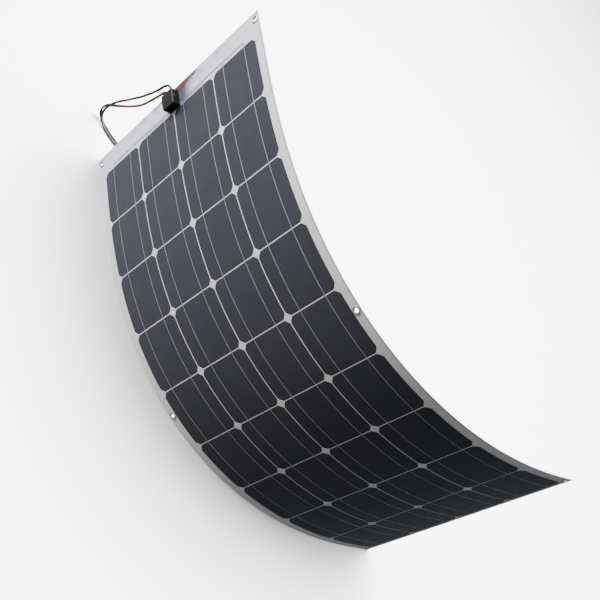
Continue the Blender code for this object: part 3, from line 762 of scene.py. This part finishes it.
# Painted light and shade: the lid's paler tones stand for its lit face, the base's darker ones for
# its sides.
LIT_LID_TONES = (0.0050, 0.0050, 0.0055), (0.0090, 0.0090, 0.0100)
SHADED_BASE_TONES = (0.0020, 0.0020, 0.0022), (0.0040, 0.0040, 0.0044)
lid_look = moulded_plastic("box_plastic", LIT_LID_TONES, (0.28, 0.38), (55.0, 1500.0), IOR=1.5)
shaded_base_look = moulded_plastic(
    "box_base_shaded_plastic", SHADED_BASE_TONES, (0.50, 0.60), (55.0, 1500.0), Specular_IOR_Level=0.15
)
print("lid and base plastic")

# %% [markdown]
# The base comes first. Its wall is what is left when its top face is inset and pushed down. The
# lid is a plate with a softened top, and the same inset on its under side is drawn down as a rim
# that fits inside the wall, with a gap so that it can slide out.

# %% The base and the lid
BOX_MIDDLE = (0.0305, WIDTH / 2 + BOX_OFFSET)
BOX_FOOT = FILM_HIGH + 0.0003
BOX_X, BOX_Y, BOX_Z, BOX_CORNER = 0.018, 0.017, 0.018, 0.0025
WALL, LID, LID_RIM, LID_GAP = 0.002, 0.0025, 0.003, 0.0003
box_stand = stand(*BOX_MIDDLE, BOX_FOOT)


def face_at(bm, height):
    bm.normal_update()
    flat = [f for f in bm.faces if abs(f.calc_center_median().z - height) < 1e-6]
    return max(flat, key=lambda face: face.calc_area())


def push(bm, face, inset, depth):
    """Insets a face, then moves the inner one along Z."""
    bmesh.ops.inset_region(bm, faces=[face], thickness=inset, use_even_offset=True)
    inner = bmesh.ops.extrude_discrete_faces(bm, faces=[face])["faces"][0]
    bmesh.ops.translate(bm, verts=inner.verts, vec=(0, 0, depth))
    return inner


base_top = BOX_Z - LID - LID_GAP
bm = plate((-BOX_X, -BOX_Y, 0), (BOX_X, BOX_Y, base_top), BOX_CORNER, 5)
push(bm, face_at(bm, base_top), WALL, WALL - base_top)
placed("box_base", bm, box_stand, "row_1", shaded_base_look, ["junction_box_base"])

bm = plate((-BOX_X, -BOX_Y, BOX_Z - LID), (BOX_X, BOX_Y, BOX_Z), BOX_CORNER, 5)
bm.normal_update()
bevel(bm, rim_edges(bm, BOX_Z), 0.0009, 3)
push(bm, face_at(bm, BOX_Z - LID), WALL + LID_GAP, -LID_RIM)
lid_nodes = ["junction_box_lid"]
placed("box_lid_shell", bm, box_stand, "box_lid", lid_look, lid_nodes)

TAB_HALF, TAB_THICK, TAB_DROP = 0.0045, 0.0012, 0.0075
for side, end in ((-1, "low"), (1, "high")):
    near, far = sorted((side * BOX_Y, side * (BOX_Y + TAB_THICK)))
    top = BOX_Z - 0.0008
    bm = plate((-TAB_HALF, near, BOX_Z - TAB_DROP), (TAB_HALF, far, top), 0.0005, 3)
    placed(f"box_tab_{end}", bm, box_stand, "box_lid", lid_look)
print("box", [round(value, 4) for value in box_stand.translation])

# %% [markdown]
# The box is bedded in sealant that is squeezed out round its foot. A low plate, a little wider
# than the box and with a round rim, gives the bead, and a coarse ripple breaks its surface.

# %% The sealant
SEALANT_REACH, SEALANT_TOP = 0.0016, 0.0011
squeezed = Finish("sealant", IOR=1.45)
ripple = squeezed.noise(squeezed.solid(), 240.0, 3.0)
sealant_look = squeezed.feed(
    Base_Color=squeezed.blend(ripple, (0.012, 0.012, 0.014), (0.028, 0.028, 0.032)),
    Roughness=squeezed.spread(ripple, 0.3, 0.7, 0.30, 0.50),
    Normal=squeezed.bump(ripple, 0.6, 0.0006),
)
x, y = BOX_X + SEALANT_REACH, BOX_Y + SEALANT_REACH
bm = plate((-x, -y, -(BOX_FOOT - FILM_HIGH)), (x, y, SEALANT_TOP), 0.004, 6)
bm.normal_update()
bevel(bm, rim_edges(bm, SEALANT_TOP), 0.0008, 3)
placed("sealant", bm, box_stand, "row_1", sealant_look)
print("sealant", round(2000 * x, 1), "by", round(2000 * y, 1), "mm")

# %% [markdown]
# Inside the box a green board carries the ends of the ribbons and a small diode. They only show
# when the lid is off, so the frame's own solids do, with finishes of their own.


# %% What the box holds
def speckled(name, scale, tones, **constants):
    finish = Finish(name, **constants)
    speck = finish.noise(finish.solid(), scale, 2.0)
    colour = finish.blend(speck, *tones)
    return finish.feed(Base_Color=colour, Normal=finish.bump(speck, 0.2, 0.0001))


BOARD_GREENS = (0.012, 0.085, 0.035), (0.022, 0.125, 0.052)
DIODE_BLACKS = (0.010, 0.010, 0.010), (0.022, 0.022, 0.022)
VARNISH = {"Coat_Weight": 0.5, "Coat_Roughness": 0.2}
board_look = speckled("circuit_board", 900.0, BOARD_GREENS, IOR=1.5, **VARNISH)
diode_look = speckled("diode_body", 700.0, DIODE_BLACKS, IOR=1.5, Roughness=0.4)
for name, look in (("terminal_board", board_look), ("bypass_diode", diode_look)):
    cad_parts[name].data.materials.clear()
    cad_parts[name].data.materials.append(look)
    print(name, "keeps the frame's solid")

# %% [markdown]
# ## The leads
#
# Two leads leave the side of the box that faces the short edge, sag past that edge and run down
# behind the sheet. There they lie on the floor, are wound twice round in a coil held by a tie,
# and end in two push-lock connectors. Each lead is one curve with a round section: its route is
# a smooth line through a few chosen points, then two turns of a helix, then a gentle swing to its
# connector.

# %% The routes
LEAD = 0.0055
BLACK_ROUTE = (
    (-0.5320, 0.1032, 0.2848),
    (-0.5400, 0.1090, 0.2785),
    (-0.5460, 0.1140, 0.2630),
    (-0.5509, 0.1183, 0.2400),
    (-0.5671, 0.1334, 0.1900),
    (-0.5865, 0.1500, 0.1420),
    (-0.6080, 0.1687, 0.0920),
    (-0.6182, 0.1779, 0.0600),
    (-0.6215, 0.1826, 0.0360),
    (-0.6185, 0.1838, 0.0195),
    (-0.6085, 0.1822, 0.0095),
    (-0.5930, 0.1800, 0.0045),
    (-0.5720, 0.1790, 0.0031),
    (-0.5495, 0.1800, 0.0031),
    (-0.5200, 0.1812, 0.0031),
    (-0.4850, 0.1796, 0.0031),
)
RED_ROUTE = (
    (-0.5300, 0.1018, 0.2708),
    (-0.5345, 0.1055, 0.2615),
    (-0.5390, 0.1098, 0.2380),
    (-0.5510, 0.1208, 0.1880),
    (-0.5673, 0.1349, 0.1500),
    (-0.5885, 0.1537, 0.1100),
    (-0.6060, 0.1670, 0.0800),
    (-0.6203, 0.1719, 0.0590),
    (-0.6274, 0.1809, 0.0360),
    (-0.6255, 0.1860, 0.0170),
    (-0.6150, 0.1886, 0.0062),
    (-0.5980, 0.1874, 0.0032),
    (-0.5720, 0.1858, 0.0031),
    (-0.5495, 0.1868, 0.0031),
    (-0.5200, 0.1880, 0.0031),
    (-0.4850, 0.1864, 0.0031),
)
CLOSE_STEPS = 16


def smooth_through(points, spacing):
    """Evenly spaced points on a smooth line through the given ones."""
    points = [Vector(point) for point in points]
    padded = [2 * points[0] - points[1], *points, 2 * points[-1] - points[-2]]
    close = []
    for a, b, c, d in zip(padded, padded[1:], padded[2:], padded[3:]):
        for step in range(CLOSE_STEPS):
            t = step / CLOSE_STEPS
            pull = (c - a) * t + (2 * a - 5 * b + 4 * c - d) * t**2
            close.append(b + 0.5 * (pull + (3 * b - a - 3 * c + d) * t**3))
    close = np.array([tuple(point) for point in [*close, points[-1]]])
    run = np.r_[0.0, np.cumsum(np.linalg.norm(np.diff(close, axis=0), axis=1))]
    at = np.linspace(0.0, run[-1], max(3, round(run[-1] / spacing) + 1))
    return np.column_stack([np.interp(at, run, close[:, axis]) for axis in range(3)]), run[-1]


print("chosen points:", len(BLACK_ROUTE), "for the black lead,", len(RED_ROUTE), "for the red")

# %% [markdown]
# The drawn points are only the part that hangs. The straight start inside the box, the turns of
# the coil and the swing to the connector are worked out. The turns waver by half a millimetre,
# since no one winds a lead perfectly, and each starts a lead's thickness above the last.

# %% The whole way of a lead
EXIT_HEIGHT, EXIT_SIDE, LEAD_INSIDE = 0.0095, 0.0065, 0.006
COIL_X, COIL_Y = -0.425, 0.152
FLOOR_LEAD, TURN_PITCH, TURNS, TURN_STEPS = 0.00305, 0.0058, 2, 24
WAVER, LEAVE_STRAIGHT, SWING_STEPS = 0.0006, 0.018, 7
PLUG_BACK, PLUG_HEIGHT, PLUG_DEPTH = 0.082, 0.0083, 0.006


def in_box(x, side):
    return box_stand @ Vector((x, side * EXIT_SIDE, EXIT_HEIGHT))


def lead_route(side, route, turn, plug_side):
    """The points of a lead, where it leaves the box and where it enters its connector."""
    mouth = in_box(-BOX_X, side)
    points = [in_box(-BOX_X + LEAD_INSIDE, side), mouth, in_box(-BOX_X - LEAD, side)]
    points += [Vector(point) for point in route]
    for step in range(TURN_STEPS * TURNS + 1):
        angle = math.radians(90 - 360 / TURN_STEPS * step)
        radius = turn + WAVER * math.sin(3 * angle + 0.7)
        height = FLOOR_LEAD + TURN_PITCH * step / TURN_STEPS
        x, y = COIL_X + radius * math.cos(angle), COIL_Y + radius * math.sin(angle)
        points.append(Vector((x, y, height)))
    leave = points[-1] + Vector((LEAVE_STRAIGHT, 0.0, 0.0))
    back = Vector((COIL_X + PLUG_BACK, COIL_Y + plug_side, PLUG_HEIGHT))
    for step in range(SWING_STEPS + 1):
        part = step / SWING_STEPS
        spot = leave.lerp(back, part * part * (3 - 2 * part))
        spot.x = leave.x + (back.x - leave.x) * part
        points.append(spot)
    points.append(back + Vector((PLUG_DEPTH, 0, 0)))
    return points, mouth, back


print("each lead winds", TURNS, "times round", (COIL_X, COIL_Y))

# %% [markdown]
# A jacket of soft plastic is not perfectly smooth or even in tone, and it picks up dust. Both
# jackets and the black sleeve on part of the red lead get a streaky noise for their tone and a
# very fine one for their surface.


# %% Jackets
def jacket(name, tones, roughness, fine_bump):
    finish = Finish(name, Specular_IOR_Level=0.3, Sheen_Weight=0.04, Sheen_Roughness=0.5)
    where = finish.solid()
    streak = finish.noise(where, 45.0, 3.0)
    return finish.feed(
        Base_Color=finish.blend(streak, *tones),
        Roughness=finish.spread(streak, 0.3, 0.7, *roughness),
        Normal=finish.bump(finish.noise(where, 900.0, 2.0), fine_bump, 0.0002),
    )


BLACKS = (0.010, 0.010, 0.011), (0.020, 0.020, 0.022)
REDS = (0.11, 0.007, 0.011), (0.17, 0.012, 0.017)
SLEEVE_BLACKS = (0.009, 0.009, 0.010), (0.016, 0.016, 0.017)
black_jacket = jacket("black_jacket", BLACKS, (0.34, 0.46), 0.15)
red_jacket = jacket("red_jacket", REDS, (0.34, 0.46), 0.15)
sleeve_look = jacket("shrink_sleeve", SLEEVE_BLACKS, (0.42, 0.55), 0.4)
print("two jackets and the sleeve's black")

# %% [markdown]
# Each lead is a curve with a round bevel, because a curve keeps the section round through every
# bend and its points are the lead's own middle line. The red lead has two lengths of black shrink
# sleeve, which are the same curve again over a part of its way and a little thicker.

# %% The leads and sleeves
ROUTE_SPACING, SLEEVE_THICKER = 0.003, 0.0007
UPPER_LOW, UPPER_HIGH = 0.052, 0.112  # heights of the sleeve that hangs
LOWER_TOP, LOWER_END = 0.024, -0.545  # height and X where the one on the floor stops


def tube(name, points, diameter, material):
    curve = bpy.data.curves.new(name, "CURVE")
    curve.dimensions = "3D"
    curve.bevel_depth = diameter / 2
    curve.bevel_resolution = 6
    curve.use_fill_caps = True
    spline = curve.splines.new("POLY")
    spline.points.add(len(points) - 1)
    for point, spot in zip(spline.points, points):
        point.co = (*spot, 1.0)
    curve.materials.append(material)
    thing = bpy.data.objects.new(name, curve)
    bpy.context.scene.collection.objects.link(thing)
    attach(thing, "row_1")
    return thing


leads = {}
for colour, side, route, turn, plug_side, look in (
    ("black", 1, BLACK_ROUTE, 0.026, 0.014, black_jacket),
    ("red", -1, RED_ROUTE, 0.0321, 0.046, red_jacket),
):
    points, mouth, back = lead_route(side, route, turn, plug_side)
    way, length = smooth_through(points, ROUTE_SPACING)
    lead = tube(f"lead_{colour}_jacket", way, LEAD, look)
    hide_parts(f"lead_{colour}", f"tail_{colour}", "lead_coil")
    leads[colour] = {"lead": lead, "way": way, "length": length, "with": []}
    leads[colour] |= {"mouth": mouth, "back": back}
    print(colour, "lead", round(length, 3), "m")

red_way = leads["red"]["way"]
upper_part = [spot for spot in red_way if UPPER_LOW < spot[2] < UPPER_HIGH]
lower_part = [spot for spot in red_way if spot[2] < LOWER_TOP and spot[0] < LOWER_END]
for stretch, part in (("upper", upper_part), ("lower", lower_part)):
    name = f"red_lead_{stretch}_sleeve"
    sleeve = tube(name, part, LEAD + SLEEVE_THICKER, sleeve_look)
    leads["red"]["with"].append(sleeve)
    print(name, len(part), "points")

# %% [markdown]
# ## Grommets, connectors and the tie
#
# A short soft grommet guards each lead where it leaves the box. It is round, so its section is
# drawn once and spun, then turned to point out of the box's wall.

# %% Grommets
GROMMET_SIDES, CONNECTOR_SIDES = 28, 48
hole = LEAD / 2 + 0.0001
flange, neck = [(0.0045, 0.0), (0.0045, 0.0016), (0.0039, 0.0022)], (0.0035, 0.0050)
section = [(hole, 0.0), *flange, neck, (hole, 0.0054)]
for colour, side in (("black", 1), ("red", -1)):
    foot = Vector((-BOX_X + 0.0001, side * EXIT_SIDE, EXIT_HEIGHT))
    aim = box_stand @ Matrix.Translation(foot) @ Matrix.Rotation(-math.pi / 2, 4, "Y")
    bm = spun(section, True, GROMMET_SIDES)
    grommet = placed(f"grommet_{colour}", bm, aim, "row_1", sleeve_look)
    leads[colour]["with"].append(grommet)
    print("grommet", colour, [round(value, 4) for value in aim.translation])

# %% [markdown]
# Each connector is a turned body with a nut at its back that clamps the lead, and a nose with a
# socket at its front. One section gives all of it when spun. The nut's ribs and the two latch
# arms aren't round, so they are small boxes with softened edges, added to the same mesh.

# %% Connectors
PLUG_TONES = (0.010, 0.010, 0.011), (0.019, 0.019, 0.021)
PLUG_GLOSS, PLUG_GRAIN = (0.34, 0.46), (60.0, 1300.0)
plug_look = moulded_plastic("connector_plastic", PLUG_TONES, PLUG_GLOSS, PLUG_GRAIN, IOR=1.5)
RIBS, RIB_LOW, RIB_HIGH = 16, (0.0062, -0.0005, 0.0022), (0.0071, 0.0005, 0.0142)

entry_hole = hole + 0.0003
nut = [(entry_hole, 0.0004), (0.0052, 0.0), (0.0066, 0.0012), (0.0066, 0.0150), (0.0060, 0.0158)]
barrel = [(0.0054, 0.0160), (0.0054, 0.0200), (0.0074, 0.0212), (0.0078, 0.0222), (0.0078, 0.0390)]
nose = [(0.0070, 0.0402), (0.0054, 0.0408), (0.0054, 0.0535), (0.0048, 0.0545), (0.0030, 0.0545)]
socket_wall = [(0.0030, 0.0450), (0.0, 0.0450)]
outline = [(0.0, 0.0042), (entry_hole, 0.0042), *nut, *barrel, *nose, *socket_wall]


def softened(low, high, softness):
    one = plate(low, high)
    bevel(one, one.edges, softness, 2)
    return one


for colour, entry in leads.items():
    bm = spun(outline, False, CONNECTOR_SIDES)
    for number in range(RIBS):
        rib = softened(RIB_LOW, RIB_HIGH, 0.0002)
        turn = Matrix.Rotation(math.tau * number / RIBS, 4, "Z")
        bmesh.ops.transform(rib, matrix=turn, verts=rib.verts)
        add_to(bm, rib)
    for side in (-1, 1):
        near, far = sorted((side * 0.0056, side * 0.0074))
        add_to(bm, softened((near, -0.0022, 0.0385), (far, 0.0022, 0.0530), 0.0004))
    aim = Matrix.Translation(entry["back"]) @ Matrix.Rotation(math.pi / 2, 4, "Y")
    name, plug_node = f"connector_{colour}", [f"plug_{colour}"]
    plug = placed(name, bm, aim, "row_1", plug_look, plug_node, 35.0)
    entry["with"].append(plug)
    print("connector", colour, len(plug.data.polygons), "faces")

# %% [markdown]
# The tie is a flat strap round all the turns of the coil, pulled through a square head with its
# end cut short. The strap is a square tube with round corners: a box without its two ends, whose
# long edges are bevelled and whose wall is then given a thickness.

# %% The tie
TIE_WIDE, TIE_ACROSS, TIE_TALL, TIE_THICK = 0.0036, 0.0124, 0.0119, 0.0009
TIE_RADIUS = 0.02905
tie_bm = bmesh.new()
tie_size = Matrix.Diagonal((TIE_WIDE, TIE_ACROSS, TIE_TALL, 1.0))
bmesh.ops.create_cube(tie_bm, size=1.0, matrix=tie_size)
open_ends = [f for f in tie_bm.faces if abs(f.normal.x) > 0.9]
bmesh.ops.delete(tie_bm, geom=open_ends, context="FACES_ONLY")
long_edges = [e for e in tie_bm.edges if abs(e.verts[0].co.x - e.verts[1].co.x) > 1e-4]
bevel(tie_bm, long_edges, 0.0022, 5)
bmesh.ops.recalc_face_normals(tie_bm, faces=tie_bm.faces)
bmesh.ops.solidify(tie_bm, geom=list(tie_bm.faces), thickness=-TIE_THICK)

near = TIE_ACROSS / 2
head = softened((-0.0028, near, -0.0024), (0.0028, near + 0.0036, 0.0024), 0.0005)
tail = softened((-0.0018, near + 0.0034, -0.0005), (0.0018, near + 0.0095, 0.0005), 0.0003)
add_to(tie_bm, head)
add_to(tie_bm, tail)
tie_spot = Vector((COIL_X, COIL_Y - TIE_RADIUS, FLOOR_LEAD + TURN_PITCH))
aim = Matrix.Translation(tie_spot) @ Matrix.Rotation(math.pi, 4, "Z")
tie = placed("coil_tie", tie_bm, aim, "row_1", plug_look)
leads["black"]["with"].append(tie)
print("tie", [round(value, 4) for value in tie_spot])

# %% [markdown]
# Each lead keeps a record of where it comes out, how long it is, the way it lies and what moves
# with it. Here the pieces that move with each lead are counted.

# %% Cords
for colour, entry in leads.items():
    print(colour, "cord with", len(entry["with"]), "pieces")

# %% [markdown]
# ## Floor, light and camera
#
# The sheet stands on a plain pale floor, which is hidden from reflections and from bounced light,
# so that the black cells stay black.

# %% The floor
floor_finish = Finish("pale_floor", Roughness=0.7)
cloud = floor_finish.noise(floor_finish.solid(), 1.2, 2.0)
pale = floor_finish.blend(cloud, (0.80, 0.80, 0.81), (0.84, 0.84, 0.85))
floor_look = floor_finish.feed(Base_Color=pale)
bm = bmesh.new()
bmesh.ops.create_grid(bm, x_segments=1, y_segments=1, size=8.0)
floor = shown("floor", mesh_of("floor", bm), floor_look)
floor.visible_glossy = floor.visible_diffuse = False
print("floor", round(floor.dimensions.x), "m across")

# %% [markdown]
# A low soft lamp stands to the left, where the box is, and lights the face at a slant. A large
# strong lamp hangs above and behind the sheet, so it whitens the floor and never reaches the face.


# %% The lamps
def lamp(name, place, aim, size, power, colour=(1.0, 1.0, 1.0)):
    data = bpy.data.lights.new(name, "AREA")
    data.shape, data.size, data.energy, data.color = "DISK", size, power, colour
    light = bpy.data.objects.new(name, data)
    light.location = place
    light.rotation_mode = "QUATERNION"
    light.rotation_quaternion = (aim - Vector(place)).to_track_quat("-Z", "Y")
    bpy.context.scene.collection.objects.link(light)
    print(name, power, "W,", size, "m across, at", place)


lamp("key", (-3.4, -0.9, 1.3), Vector((0.0, 0.0, 0.27)), 1.6, 235.0, (0.97, 0.96, 1.0))
lamp("overhead", (0.0, 1.2, 4.0), Vector((0.0, 0.2, 0.0)), 3.0, 1800.0)

# %% [markdown]
# The room's own light fades from a bright left to a dark right, where it also turns bluer. The
# cells and the clear film mirror it, which is why the sheet is pale at one end and near black at
# the other.

# %% The room's light
BRIGHTNESS = {"From Min": -0.9, "From Max": 0.85, "To Min": 0.58, "To Max": 0.11}
BLUENESS = {"From Min": 0.35, "From Max": 0.95}
LEFT_HUE, RIGHT_HUE = (0.92, 0.93, 0.97, 1), (0.76, 0.86, 1.0, 1)

world = bpy.data.worlds.new("studio")
bpy.context.scene.world = world
world.use_nodes = True
nodes, links = world.node_tree.nodes, world.node_tree.links
direction = nodes.new("ShaderNodeTexCoord").outputs["Generated"]
split = nodes.new("ShaderNodeSeparateXYZ")
links.new(direction, split.inputs[0])


def faded(ends, curve):
    """A value that changes with how far to the right the light comes from."""
    ramp = nodes.new("ShaderNodeMapRange")
    ramp.interpolation_type = curve
    for end, value in ends.items():
        ramp.inputs[end].default_value = value
    links.new(split.outputs["X"], ramp.inputs["Value"])
    return ramp.outputs["Result"]


hue = nodes.new("ShaderNodeMix")
hue.data_type = "RGBA"
hue.inputs[6].default_value, hue.inputs[7].default_value = LEFT_HUE, RIGHT_HUE
links.new(faded(BLUENESS, "LINEAR"), hue.inputs[0])
links.new(hue.outputs[2], nodes["Background"].inputs["Color"])
links.new(faded(BRIGHTNESS, "SMOOTHSTEP"), nodes["Background"].inputs["Strength"])
print("room light from", BRIGHTNESS["To Min"], "on the left to", BRIGHTNESS["To Max"])

# %% [markdown]
# The camera looks down at the face from in front, and is rolled until the upright sheet lies
# across the picture. Its three axes are given in the room's directions.

# %% The camera
RIGHT = Vector((0.55509, 0.49922, 0.66533))
UP = Vector((-0.83060, 0.37544, 0.41127))
BACKWARD = Vector((-0.04447, -0.78092, 0.62305))
camera_data = bpy.data.cameras.new("camera")
camera_data.lens, camera_data.sensor_width = 54.89, 36.0
camera_data.clip_start, camera_data.clip_end = 0.05, 50.0
camera = bpy.data.objects.new("camera", camera_data)
camera.rotation_mode = "QUATERNION"
camera.rotation_quaternion = Matrix((RIGHT, UP, BACKWARD)).transposed().to_quaternion()
camera.location = (-0.1185, -1.3505, 1.4185)
bpy.context.scene.collection.objects.link(camera)
bpy.context.scene.camera = camera
print("camera at", [round(value, 3) for value in camera.location], camera_data.lens, "mm")

# %% [markdown]
# ## Bringing the scene up to date
#
# The placements of all the pieces are brought up to date.

# %% Finish
bpy.context.view_layer.update()
